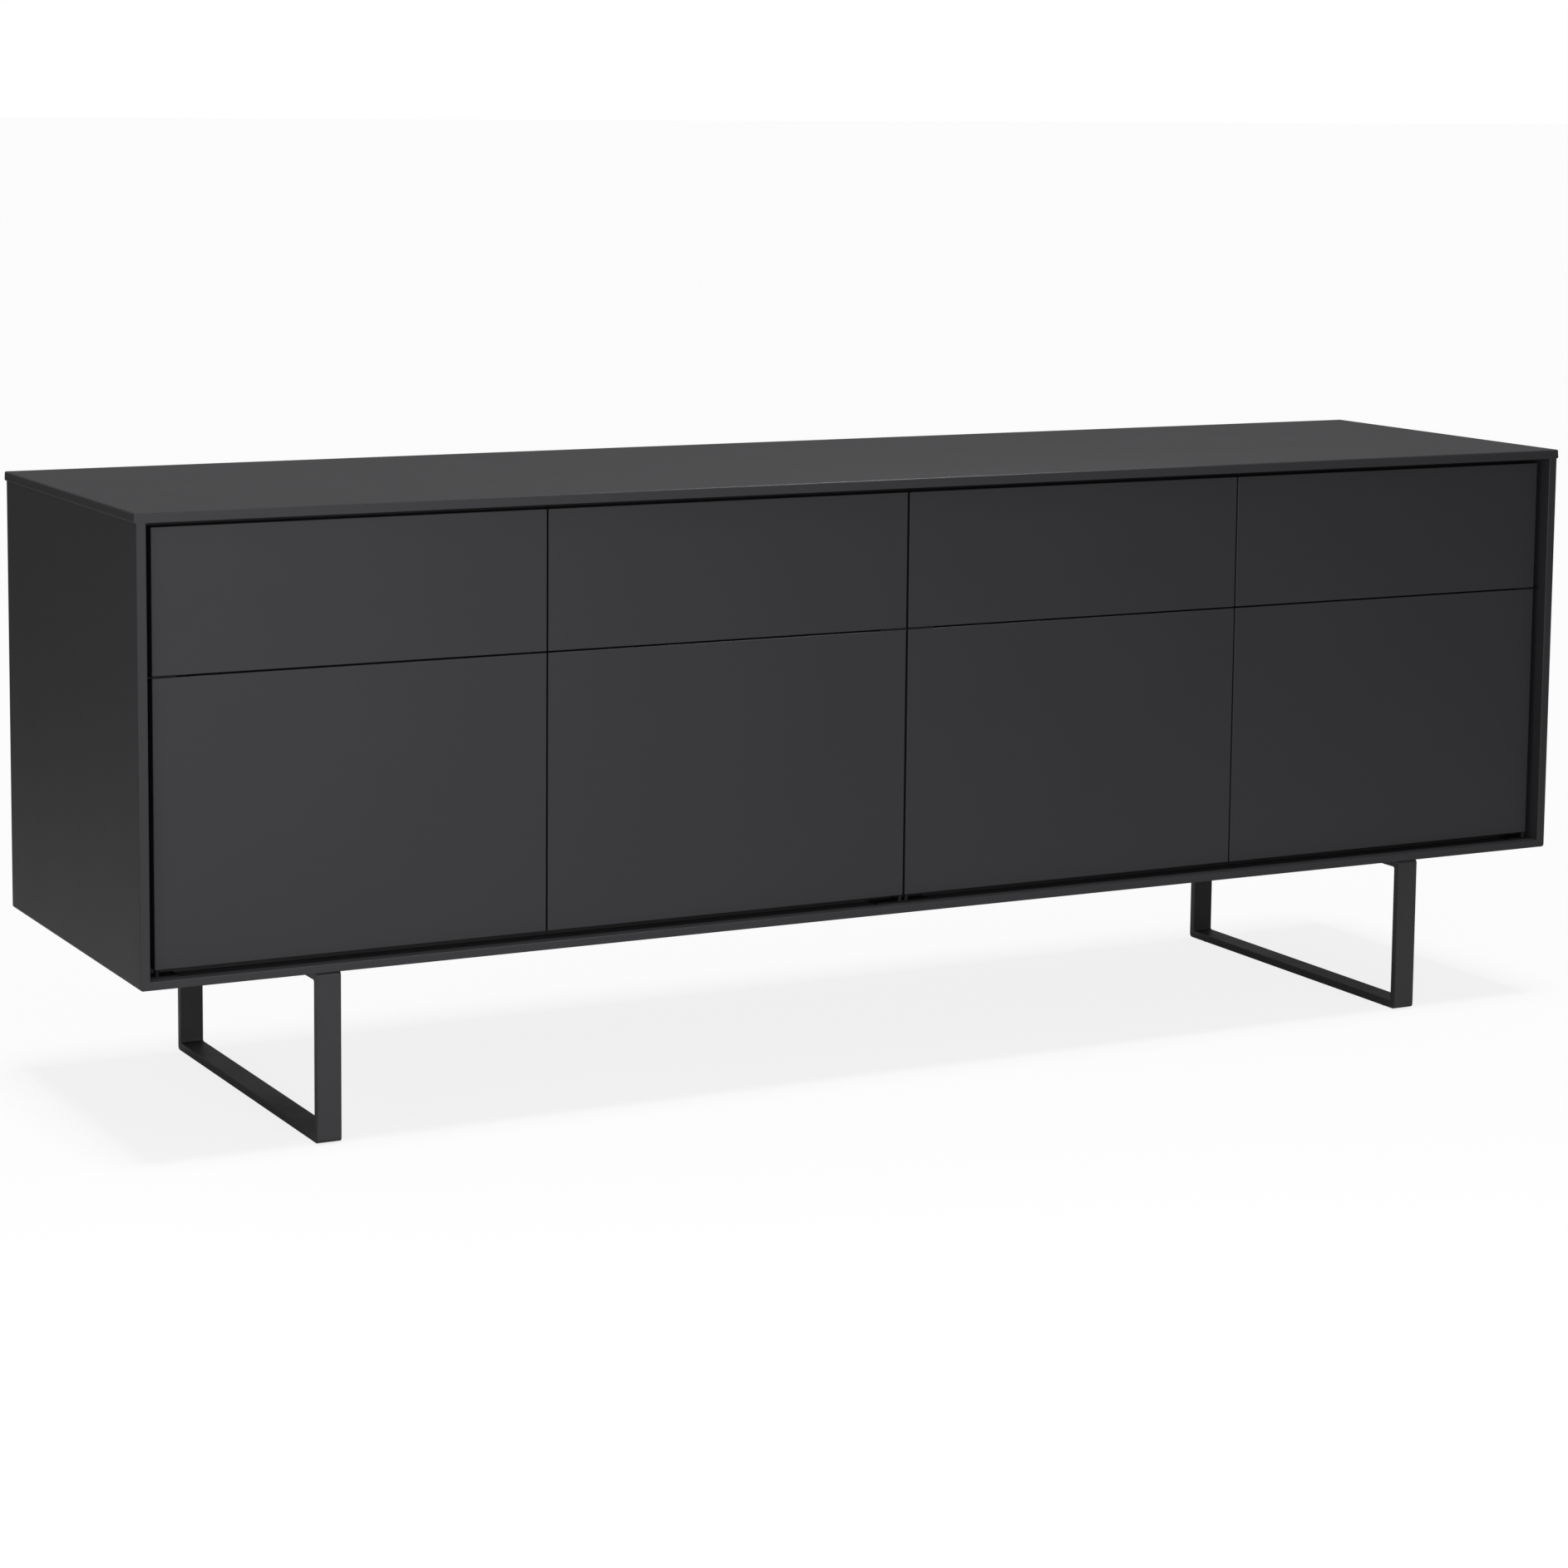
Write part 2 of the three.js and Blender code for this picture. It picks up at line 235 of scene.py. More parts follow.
def build_skin():
    group = bpy.data.node_groups.new("coated_skin", "ShaderNodeTree")
    add_group_sockets(
        group,
        "INPUT",
        [
            ("Dark", "NodeSocketColor", (0.03, 0.03, 0.03, 1)),
            ("Light", "NodeSocketColor", (0.04, 0.04, 0.04, 1)),
            ("Drift Scale", "NodeSocketFloat", 3.0),
            ("Grain Scale", "NodeSocketFloat", 900.0),
            ("Rough Low", "NodeSocketFloat", 0.4),
            ("Rough High", "NodeSocketFloat", 0.5),
        ],
    )
    add_group_sockets(
        group,
        "OUTPUT",
        [
            ("Color", "NodeSocketColor", None),
            ("Roughness", "NodeSocketFloat", None),
            ("Height", "NodeSocketFloat", None),
        ],
    )
    nodes, links = group.nodes, group.links
    entry = nodes.new("NodeGroupInput")
    leave = nodes.new("NodeGroupOutput")
    place = nodes.new("ShaderNodeTexCoord").outputs["Object"]

    drift = noise(nodes, 3, 0.55)
    links.new(place, drift.inputs["Vector"])
    links.new(entry.outputs["Drift Scale"], drift.inputs["Scale"])
    tone = nodes.new("ShaderNodeMix")
    tone.data_type = "RGBA"
    links.new(drift.outputs["Fac"], tone.inputs["Factor"])
    links.new(entry.outputs["Dark"], tone.inputs["A"])
    links.new(entry.outputs["Light"], tone.inputs["B"])
    links.new(tone.outputs["Result"], leave.inputs["Color"])

    grain = noise(nodes, 2, 0.6)
    links.new(place, grain.inputs["Vector"])
    links.new(entry.outputs["Grain Scale"], grain.inputs["Scale"])
    links.new(grain.outputs["Fac"], leave.inputs["Height"])

    patches = noise(nodes, 4, 0.6)
    patches.inputs["Scale"].default_value = PATCH_SCALE
    links.new(place, patches.inputs["Vector"])
    spread = ramp(
        nodes, links, patches.outputs["Fac"], entry.outputs["Rough Low"], entry.outputs["Rough High"]
    )
    links.new(spread, leave.inputs["Roughness"])
    return group


SKIN = build_skin()
print("skin group nodes:", len(SKIN.nodes))

# %% [markdown]
# ## Dust
#
# Dust lies on what faces up and nowhere else. The mask is the upward part of the surface normal
# times a broken-up noise, and it lightens the colour by a hair and dulls the gloss.


# %% Build the dust group
LEVEL_ENOUGH = 0.6  # dust starts to lie where the normal's upward part passes this
MOTE_SCALE = 38.0
MOTES_LOW, MOTES_HIGH = 0.35, 0.75
DUST_COLOUR = (0.42, 0.41, 0.40, 1)


def build_dust():
    group = bpy.data.node_groups.new("settled_dust", "ShaderNodeTree")
    add_group_sockets(
        group,
        "INPUT",
        [
            ("Color", "NodeSocketColor", (0, 0, 0, 1)),
            ("Roughness", "NodeSocketFloat", 0.5),
            ("Amount", "NodeSocketFloat", 0.05),
        ],
    )
    add_group_sockets(
        group,
        "OUTPUT",
        [("Color", "NodeSocketColor", None), ("Roughness", "NodeSocketFloat", None)],
    )
    nodes, links = group.nodes, group.links
    entry = nodes.new("NodeGroupInput")
    leave = nodes.new("NodeGroupOutput")
    facing = nodes.new("ShaderNodeSeparateXYZ")
    links.new(nodes.new("ShaderNodeNewGeometry").outputs["Normal"], facing.inputs[0])
    upward = nodes.new("ShaderNodeMapRange")
    upward.inputs["From Min"].default_value = LEVEL_ENOUGH
    links.new(facing.outputs["Z"], upward.inputs["Value"])

    motes = noise(nodes, 8, 0.7)
    motes.inputs["Scale"].default_value = MOTE_SCALE
    place = nodes.new("ShaderNodeTexCoord").outputs["Object"]
    links.new(place, motes.inputs["Vector"])
    broken = nodes.new("ShaderNodeMapRange")
    broken.inputs["From Min"].default_value = MOTES_LOW
    broken.inputs["From Max"].default_value = MOTES_HIGH
    links.new(motes.outputs["Fac"], broken.inputs["Value"])

    mask = nodes.new("ShaderNodeMath")
    mask.operation = "MULTIPLY"
    links.new(upward.outputs["Result"], mask.inputs[0])
    links.new(broken.outputs["Result"], mask.inputs[1])
    share = nodes.new("ShaderNodeMath")
    share.operation = "MULTIPLY"
    links.new(mask.outputs["Value"], share.inputs[0])
    links.new(entry.outputs["Amount"], share.inputs[1])

    film = nodes.new("ShaderNodeMix")
    film.data_type = "RGBA"
    film.inputs["B"].default_value = DUST_COLOUR
    links.new(share.outputs["Value"], film.inputs["Factor"])
    links.new(entry.outputs["Color"], film.inputs["A"])
    links.new(film.outputs["Result"], leave.inputs["Color"])
    dulled = nodes.new("ShaderNodeMath")
    dulled.operation = "ADD"
    links.new(entry.outputs["Roughness"], dulled.inputs[0])
    links.new(share.outputs["Value"], dulled.inputs[1])
    links.new(dulled.outputs["Value"], leave.inputs["Roughness"])
    return group


DUST = build_dust()
print("dust group nodes:", len(DUST.nodes))

# %% [markdown]
# ## The finishes
#
# The lacquer is a sprayed matte anthracite: nearly black, very slightly violet, with the faint
# orange-peel of a spray gun and a soft sheen. The inside is melamine, a little lighter, with a
# pearl texture; its front edge bands are black as painted shade, which keeps the gaps between the
# fronts dark. The sleds are powder coated, which is coarser. The pivots are near black, partly a
# real blackened finish and partly painted shade, so they sink into the gap's shadow. Latches and
# glides are moulded plastic.
#
# A number that is the same all over a finish, such as its specular level, is set on the shader's
# own socket. Only what changes over the surface comes through the groups.


# %% A material from the skin and the dust
def coated(name, dark, light, grain_scale, grain_depth, rough, dust=0.0, drift_scale=3.0, **shader):
    material = bpy.data.materials.new(name)
    material.use_nodes = True
    nodes, links = material.node_tree.nodes, material.node_tree.links
    surface = nodes["Principled BSDF"]
    for label, value in shader.items():
        surface.inputs[label.replace("_", " ")].default_value = value
    skin = nodes.new("ShaderNodeGroup")
    skin.node_tree = SKIN
    skin.inputs["Dark"].default_value = (*dark, 1)
    skin.inputs["Light"].default_value = (*light, 1)
    skin.inputs["Drift Scale"].default_value = drift_scale
    skin.inputs["Grain Scale"].default_value = grain_scale
    skin.inputs["Rough Low"].default_value = rough[0]
    skin.inputs["Rough High"].default_value = rough[1]
    film = nodes.new("ShaderNodeGroup")
    film.node_tree = DUST
    film.inputs["Amount"].default_value = dust
    links.new(skin.outputs["Color"], film.inputs["Color"])
    links.new(skin.outputs["Roughness"], film.inputs["Roughness"])
    links.new(film.outputs["Color"], surface.inputs["Base Color"])
    links.new(film.outputs["Roughness"], surface.inputs["Roughness"])
    relief = nodes.new("ShaderNodeBump")
    relief.inputs["Strength"].default_value = 1.0
    relief.inputs["Distance"].default_value = grain_depth
    links.new(skin.outputs["Height"], relief.inputs["Height"])
    links.new(relief.outputs["Normal"], surface.inputs["Normal"])
    return material


lacquer = coated(
    "anthracite_lacquer",
    dark=(0.0310, 0.0308, 0.0336),
    light=(0.0340, 0.0337, 0.0366),
    grain_scale=420.0,
    grain_depth=0.045 * MM,
    rough=(0.475, 0.500),
    dust=0.008,
    Specular_IOR_Level=0.40,
)
interior = coated(
    "anthracite_melamine",
    dark=(0.042, 0.041, 0.043),
    light=(0.052, 0.051, 0.053),
    grain_scale=700.0,
    grain_depth=0.08 * MM,
    rough=(0.50, 0.60),
    dust=0.01,
    Specular_IOR_Level=0.4,
)
powder_coat = coated(
    "powder_coat",
    dark=(0.0275, 0.0273, 0.0295),
    light=(0.0325, 0.0321, 0.0345),
    grain_scale=1500.0,
    grain_depth=0.13 * MM,
    rough=(0.42, 0.52),
    dust=0.03,
    Specular_IOR_Level=0.5,
)
# Near black: partly a real blackened finish, partly painted shade, so the pivot hardware sinks into the dark gap
# around the doors.
blackened_gap_shade = coated(
    "blackened_steel_painted_shade",
    dark=(0.005, 0.005, 0.0055),
    light=(0.008, 0.008, 0.0085),
    grain_scale=1200.0,
    grain_depth=0.02 * MM,
    rough=(0.5, 0.6),
    Specular_IOR_Level=0.25,
)
# Painted shade: a near-black band for the cabinet's front edges, so the gaps between the fronts stay dark.
black_band_gap_shade = coated(
    "black_band_painted_shade",
    dark=(0.006, 0.006, 0.0065),
    light=(0.009, 0.009, 0.0095),
    grain_scale=900.0,
    grain_depth=0.02 * MM,
    rough=(0.5, 0.6),
)
moulded = coated(
    "moulded_plastic",
    dark=(0.012, 0.012, 0.0125),
    light=(0.017, 0.017, 0.0175),
    grain_scale=1800.0,
    grain_depth=0.03 * MM,
    rough=(0.40, 0.5),
)
grey_plastic = coated(
    "grey_plastic",
    dark=(0.16, 0.16, 0.165),
    light=(0.2, 0.2, 0.205),
    grain_scale=1800.0,
    grain_depth=0.02 * MM,
    rough=(0.38, 0.46),
)

# %% [markdown]
# ## Zinc plate
#
# Plated steel is a metal, so its colour is its reflection. The strip that runners are rolled
# from has fine drawn lines along its length: noise squeezed hard across the piece and stretched
# along it, in both the roughness and the relief.


# %% Zinc for the hardware
DRAWN_DEPTH = 0.01 * MM
ALONG_Y = (1400, 12, 1400)  # fine across the piece, long along its travel
EVEN = (900, 900, 900)


def plated(name, dark, light, stretch, rough):
    material = bpy.data.materials.new(name)
    material.use_nodes = True
    nodes, links = material.node_tree.nodes, material.node_tree.links
    surface = nodes["Principled BSDF"]
    surface.inputs["Metallic"].default_value = 1.0
    place = nodes.new("ShaderNodeTexCoord").outputs["Object"]
    squeeze = nodes.new("ShaderNodeMapping")
    squeeze.inputs["Scale"].default_value = stretch
    links.new(place, squeeze.inputs["Vector"])
    lines = noise(nodes, 5, 0.65)
    lines.inputs["Scale"].default_value = 1.0
    links.new(squeeze.outputs["Vector"], lines.inputs["Vector"])
    tone = nodes.new("ShaderNodeMix")
    tone.data_type = "RGBA"
    tone.inputs["A"].default_value = (*dark, 1)
    tone.inputs["B"].default_value = (*light, 1)
    links.new(lines.outputs["Fac"], tone.inputs["Factor"])
    links.new(tone.outputs["Result"], surface.inputs["Base Color"])
    gloss = nodes.new("ShaderNodeMapRange")
    gloss.inputs["From Min"].default_value = NOISE_LOW
    gloss.inputs["From Max"].default_value = NOISE_HIGH
    gloss.inputs["To Min"].default_value = rough[0]
    gloss.inputs["To Max"].default_value = rough[1]
    links.new(lines.outputs["Fac"], gloss.inputs["Value"])
    links.new(gloss.outputs["Result"], surface.inputs["Roughness"])
    relief = nodes.new("ShaderNodeBump")
    relief.inputs["Strength"].default_value = 1.0
    relief.inputs["Distance"].default_value = DRAWN_DEPTH
    links.new(lines.outputs["Fac"], relief.inputs["Height"])
    links.new(relief.outputs["Normal"], surface.inputs["Normal"])
    return material


zinc = plated("zinc_plate", (0.46, 0.47, 0.49), (0.62, 0.63, 0.64), ALONG_Y, (0.26, 0.42))
screw_steel = plated("screw_steel", (0.42, 0.42, 0.43), (0.6, 0.6, 0.61), EVEN, (0.25, 0.4))

FINISH = {
    "lacquer": lacquer,
    "interior_lacquer": interior,
    "steel_paint": powder_coat,
    "zinc": zinc,
    "plastic": moulded,
}
print("finishes by slot:", {slot: material.name for slot, material in FINISH.items()})

# %% [markdown]
# ## Dressing a piece
#
# Each finished piece gets its material, which is its record slot's finish unless another is
# given, the body it moves with, and the imported parts it stands for, which it hides. The
# imported parts that stay hidden still wear the same finishes.

# %% Its finish, its body and the part it stands for
made = []


def dress(piece, body, slot, *stands_for, material=None):
    made.append(piece)
    piece.data.materials.clear()
    piece.data.materials.append(material or FINISH[slot])
    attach(piece, body)
    if stands_for:
        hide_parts(*stands_for)
    return piece


def tell(what):
    """Prints how many pieces were dressed since the last call, and how many faces they have."""
    print(f"{what}: {len(made)} pieces, {sum(len(p.data.polygons) for p in made)} faces")
    made.clear()


slots = {part["node"]: part["material_slot"] for part in frame["record"]["subparts"]}
for name, node in frame["nodes"].items():
    node.data.materials.clear()
    node.data.materials.append(FINISH[slots[name]])
print("packed parts:", len(slots))

# %% [markdown]
# ## The frame's sides and bottom
#
# On the real piece the sides and bottom are glued at mitred corners, filled and sprayed as one
# shell, so no joint shows. Three separately rounded boards would show a groove at each corner.
# So the shell is made whole first: a block, with a block cut out of it. Its long lower corners
# get a generous radius, its front and back rims a small one, and only then is it sawn along the
# two mitres with Bisect, which leaves three closed boards that fit without a gap.

# %% Make the shell
side_low, side_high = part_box("side_left")
bottom_low, bottom_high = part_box("carcass_bottom")
outer_x, inner_x = -side_low.x, -side_high.x
shell_bottom, recess_bottom, shell_top = bottom_low.z, bottom_high.z, side_high.z
front_y, back_y = side_low.y, side_high.y
CORNER_RADIUS = 3.5 * MM
RIM_RADIUS = 1.2 * MM
NEAR = 0.01 * MM
OVERSHOOT = 0.1  # how far a cutter reaches past what it cuts


def same(a, b):
    return abs(a - b) < NEAR


def make_shell():
    shell = block("shell", (-outer_x, front_y, shell_bottom), (outer_x, back_y, shell_top))
    hollow = block(
        "hollow",
        (-inner_x, front_y - OVERSHOOT, recess_bottom),
        (inner_x, back_y + OVERSHOOT, shell_top + OVERSHOOT),
    )
    subtract(shell, hollow)
    round_some(
        shell,
        CORNER_RADIUS,
        5,
        lambda a, b: same(a.z, shell_bottom)
        and same(b.z, shell_bottom)
        and same(abs(a.x), outer_x)
        and same(a.x, b.x),
    )
    for rim_y in (front_y, back_y):
        round_some(
            shell,
            RIM_RADIUS,
            3,
            lambda a, b, y=rim_y: same(a.y, y)
            and same(b.y, y)
            and not (same(a.z, shell_top) and same(b.z, shell_top)),
        )
    return shell


def saw(piece, point, normal, keep_inner):
    """Cuts the piece along a plane, keeps one side and closes the cut."""
    alone(piece)
    bpy.ops.object.mode_set(mode="EDIT")
    bpy.ops.mesh.select_all(action="SELECT")
    bpy.ops.mesh.bisect(
        plane_co=point,
        plane_no=normal,
        use_fill=True,
        clear_inner=not keep_inner,
        clear_outer=keep_inner,
    )
    bpy.ops.object.mode_set(mode="OBJECT")
    return piece


shell = make_shell()
print("shell faces:", len(shell.data.polygons))


# %% Saw it into three boards
def mitre(side):
    """A point on the mitre of that side's lower corner, and the mitre's normal."""
    corner = Vector((side * outer_x, 0, shell_bottom))
    inner = Vector((side * inner_x, 0, recess_bottom))
    along = (inner - corner).normalized()
    return corner, Vector((-along.z * -side, 0, along.x * -side))


def copy_of(piece, name):
    twin = bpy.data.objects.new(name, piece.data.copy())
    bpy.context.collection.objects.link(twin)
    return twin


def frame_board(name, node, side):
    board = copy_of(shell, name)
    if side:
        corner, normal = mitre(side)
        saw(board, corner, normal, keep_inner=False)
        saw(board, (0, 0, 0), (side, 0, 0), keep_inner=False)
    else:
        for end in (-1, 1):
            corner, normal = mitre(end)
            saw(board, corner, normal, keep_inner=True)
    dress(smooth(board), "carcass", "lacquer", node)
    print(name, "in mm:", [round(size / MM, 1) for size in board.dimensions])


frame_board("frame_side_left", "side_left", -1)
frame_board("frame_side_right", "side_right", 1)
frame_board("frame_bottom", "carcass_bottom", 0)
bpy.data.objects.remove(shell)
tell("frame")

# %% [markdown]
# ## The top board
#
# The top is laid over the sides. Its ends stand a little proud of them, and that lip is rounded
# under more than it is on top, while in front the board is flush with the frame, so its lower
# front edge stays almost sharp and the joint disappears under the lacquer.

# %% Make the top board
TOP_EDGE_RADIUS = 2.0 * MM
LIP_UNDER_RADIUS = 3.0 * MM
HAIR_RADIUS = 0.15 * MM
top_low, top_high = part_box("top_board")


def make_top():
    board = block("top_slab", top_low, top_high)
    round_some(
        board,
        LIP_UNDER_RADIUS,
        4,
        lambda a, b: same(a.z, top_low.z) and same(b.z, top_low.z) and same(a.x, b.x),
    )
    round_some(
        board,
        TOP_EDGE_RADIUS,
        4,
        lambda a, b: (same(a.z, top_high.z) and same(b.z, top_high.z))
        or (same(abs(a.x), top_high.x) and same(a.x, b.x) and same(a.y, b.y)),
    )
    soften(board, HAIR_RADIUS, 1)
    dress(smooth(board), "carcass", "lacquer", "top_board")


make_top()
tell("top")

# %% [markdown]
# ## Drawer fronts and doors
#
# The fronts are boards of the same lacquer. Their corners are eased a little in the face, and
# their arrises are rounded like the frame's rims. The rounding catches light from above, which
# draws a pale line under a seam and makes the dark gap look crisp.
#
# Each door also turns on pins at its outer corner. A steel leaf is let into its top and bottom
# edges there, so the door gets a shallow pocket and a bore at each end.

# %% Sizes of the fronts
FACE_CORNER = 1.0 * MM
ARRIS = 1.2 * MM
LEAF_LENGTH = 46 * MM
LEAF_WIDTH = 12 * MM
LEAF_THICK = 1.2 * MM
LEAF_FIT = 0.08 * MM
BORE_RADIUS = 1.8 * MM
BORE_DEPTH = 12 * MM
joints = {joint["name"]: joint for joint in frame["joints"]}


def front_panel(name, node):
    low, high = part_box(node)
    panel = block(name, low, high)
    round_some(panel, FACE_CORNER, 3, lambda a, b: same(a.x, b.x) and same(a.z, b.z))
    return soften(panel, ARRIS, 3)


for number in COLUMNS:
    panel = front_panel(f"drawer_panel_{number}", f"drawer_front_{number}")
    dress(smooth(panel), f"drawer_{number}", "lacquer", f"drawer_front_{number}")
tell("drawer fronts")

# %% Doors, with the pivot leaves let into their edges
LEAF_INSET = 1.0 * MM
LEAF_SUNK = 0.4 * MM
LEAF_EDGE = 0.12 * MM
OPEN_END = 2 * MM  # how far a pocket's cutter reaches out of the door


def leaf_span(low, high, pin):
    """The leaf's two ends in X: it starts at the pin's corner and runs inwards."""
    if pin.x - low.x < high.x - pin.x:
        return low.x + LEAF_INSET, low.x + LEAF_INSET + LEAF_LENGTH
    return high.x - LEAF_INSET - LEAF_LENGTH, high.x - LEAF_INSET


def edge_span(edge, inward, start, end):
    """Heights from one depth to another, measured from a door's edge into the door."""
    return sorted((edge + inward * start, edge + inward * end))


def make_door(number):
    node = f"door_{number}"
    low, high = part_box(node)
    pin = Vector(joints[f"door_{number}_hinge"]["pos_m"])
    panel = front_panel(f"door_panel_{number}", node)
    x0, x1 = leaf_span(low, high, pin)
    y0, y1 = low.y + LEAF_INSET, low.y + LEAF_INSET + LEAF_WIDTH
    for label, edge, inward in (("lower", low.z, 1), ("upper", high.z, -1)):
        z0, z1 = edge_span(edge, inward, -OPEN_END, LEAF_SUNK + LEAF_THICK)
        pocket = block("pocket", (x0, y0, z0), (x1, y1, z1))
        z0, z1 = edge_span(edge, inward, -OPEN_END, BORE_DEPTH)
        bore = rod("bore", (pin.x, pin.y, z0), (pin.x, pin.y, z1), BORE_RADIUS)
        subtract(panel, pocket, bore)
        z0, z1 = edge_span(edge, inward, LEAF_SUNK, LEAF_SUNK + LEAF_THICK - LEAF_FIT)
        leaf = block(
            f"door_leaf_{label}_{number}",
            (x0 + LEAF_FIT, y0 + LEAF_FIT, z0),
            (x1 - LEAF_FIT, y1 - LEAF_FIT, z1),
        )
        below, above = edge - BORE_DEPTH, edge + BORE_DEPTH
        hole = rod("hole", (pin.x, pin.y, below), (pin.x, pin.y, above), BORE_RADIUS)
        subtract(leaf, hole)
        # The leaf is near black as painted shade, so it sinks into the gap's shadow.
        dress(smooth(soften(leaf, LEAF_EDGE, 1)), node, "steel_paint", material=blackened_gap_shade)
    dress(smooth(panel), node, "lacquer", node)


for number in COLUMNS:
    make_door(number)
tell("doors and their leaves")

# %% [markdown]
# ## Sled frames
#
# Each sled is four lengths of flat bar, mitred and welded into a loop, with its corners ground
# slightly round. The frame already has that outline, so a copy of its mesh is merged into one
# surface, its loose triangles dissolved back into flat faces, and the bar's long edges rounded,
# as rolled flat bar has them.


# %% A merged copy of a CAD part
def refined(node, name, radius, segments):
    piece = copy_of(frame["nodes"][node], name)
    alone(piece)
    bpy.ops.object.mode_set(mode="EDIT")
    bpy.ops.mesh.select_all(action="SELECT")
    bpy.ops.mesh.remove_doubles(threshold=NEAR)
    bpy.ops.mesh.dissolve_limited(angle_limit=math.radians(1))
    bpy.ops.object.mode_set(mode="OBJECT")
    return smooth(soften(piece, radius, segments))


BAR_EDGE_RADIUS = 1.8 * MM
for side in ("left", "right"):
    sled = refined(f"sled_{side}", f"sled_bar_{side}", BAR_EDGE_RADIUS, 3)
    dress(sled, "carcass", "steel_paint", f"sled_{side}")
tell("sleds")

# %% [markdown]
# ## The cabinet inside
#
# Behind the fronts is a plain melamine cabinet. Its boards are cut and edge-banded, so their
# edges are broken by only half a millimetre. The bands in front are black as painted shade: they
# keep the gaps between the fronts dark, where the lit cabinet would otherwise show. The inner
# sides and the divider have rows of holes for the shelf pins at a 32 mm pitch, and the shelves
# stand on pins in one of the rows.

# %% Plain boards of the cabinet
CUT_EDGE = 0.5 * MM
FACING_FRONT = -0.7  # the largest y a normal has that still counts as looking forward


def band_front_painted_shade(board):
    """Gives the faces that look forward the black band, painted shade for the gaps between the fronts."""
    board.data.materials.append(black_band_gap_shade)
    for face in board.data.polygons:
        if face.normal.y < FACING_FRONT:
            face.material_index = 1


PLAIN_BOARDS = [
    "sub_top",
    "inner_bottom",
    "deck_left",
    "deck_right",
    "drawer_partition_left",
    "drawer_partition_right",
    "shelf_left",
    "shelf_right",
    "back_panel",
]
for node in PLAIN_BOARDS:
    board = smooth(soften(block(f"{node}_board", *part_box(node)), CUT_EDGE, 2))
    dress(board, "carcass", "interior_lacquer", node)
    band_front_painted_shade(board)
tell("plain boards")

# %% Boards with shelf-pin holes
PIN_RADIUS = 2.5 * MM
PIN_PITCH = 32 * MM
PIN_DEPTH = 9 * MM
FRONT_ROW = 35 * MM  # from the shelf's front edge
REAR_ROW = 45 * MM  # from its back edge
shelf_low, shelf_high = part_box("shelf_left")
pin_rows_y = (shelf_low.y + FRONT_ROW, shelf_high.y - REAR_ROW)
pin_z = shelf_low.z - PIN_RADIUS
pin_heights = [pin_z + step * PIN_PITCH for step in range(-2, 3)]


def drill_rows(board, faces):
    """Rows of blind holes into the board. Each face is (x, direction into the board)."""
    for x, into in faces:
        holes = [
            rod("hole", (x - into * MM, y, z), (x + into * PIN_DEPTH, y, z), PIN_RADIUS, 12)
            for y in pin_rows_y
            for z in pin_heights
        ]
        bpy.ops.object.select_all(action="DESELECT")
        for hole in holes:
            hole.select_set(True)
        bpy.context.view_layer.objects.active = holes[0]
        bpy.ops.object.join()
        subtract(board, holes[0])
    return board


def holed_board(node, faces):
    board = soften(block(f"{node}_board", *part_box(node)), CUT_EDGE, 2)
    dress(smooth(drill_rows(board, faces)), "carcass", "interior_lacquer", node)
    band_front_painted_shade(board)


cabinet_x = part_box("inner_side_left")[1].x
divider_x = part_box("centre_divider")[1].x
holed_board("inner_side_left", [(cabinet_x, -1)])
holed_board("inner_side_right", [(-cabinet_x, 1)])
holed_board("centre_divider", [(-divider_x, 1), (divider_x, -1)])
tell("boards with pin holes")

# %% [markdown]
# ## Shelf pins
#
# A pin is a short rod with a flat tongue that the shelf lies on. Four of them carry each shelf,
# and their tongues point into the bay. The four are joined into one piece.


# %% Shelf pins
SHANK_RADIUS = 2.4 * MM  # a little thinner than its hole
SHANK_IN, SHANK_OUT = 8 * MM, 2 * MM
TONGUE_START, TONGUE_END = 0.5 * MM, 9 * MM
TONGUE_HALF = 4.5 * MM
TONGUE_TOP, TONGUE_FOOT = 0.1 * MM, 1.6 * MM  # below the shelf
TONGUE_EDGE = 0.4 * MM


def join_all(name, pieces):
    bpy.ops.object.select_all(action="DESELECT")
    for piece in pieces:
        piece.select_set(True)
    bpy.context.view_layer.objects.active = pieces[0]
    bpy.ops.object.join()
    return settle(bpy.context.view_layer.objects.active, name)


def shelf_pin(x, outward, y):
    """outward points from the wall into the bay."""
    start, end = (x - outward * SHANK_IN, y, pin_z), (x + outward * SHANK_OUT, y, pin_z)
    shank = rod("shank", start, end, SHANK_RADIUS, 16)
    tongue_x = sorted((x + outward * TONGUE_START, x + outward * TONGUE_END))
    tongue = block(
        "tongue",
        (tongue_x[0], y - TONGUE_HALF, shelf_low.z - TONGUE_FOOT),
        (tongue_x[1], y + TONGUE_HALF, shelf_low.z - TONGUE_TOP),
    )
    soften(tongue, TONGUE_EDGE, 2)
    return join_all("pin", [shank, tongue])


def shelf_pins(label, walls):
    pins = [shelf_pin(x, outward, y) for x, outward in walls for y in pin_rows_y]
    dress(smooth(join_all(f"shelf_pins_{label}", pins)), "carcass", "zinc", material=screw_steel)


shelf_pins("left", [(cabinet_x, 1), (-divider_x, -1)])
shelf_pins("right", [(divider_x, 1), (-cabinet_x, -1)])
tell("shelf pins")

# %% [markdown]
# ## Drawer boxes
#
# A drawer is five boards behind its front. They are made apart, because the butt joints at the
# corners and the rounded top edges are what the eye meets when a drawer is opened. The bottom is
# let into grooves, so the walls stand round it with nothing to see but a fine line.

# %% Drawer walls and bottoms
WALL = 13 * MM
TOP_ROUND = 2.0 * MM
WALL_EDGE = 0.3 * MM
GROOVE_PLAY = Vector((0.3, 0.3, 0.3)) * MM


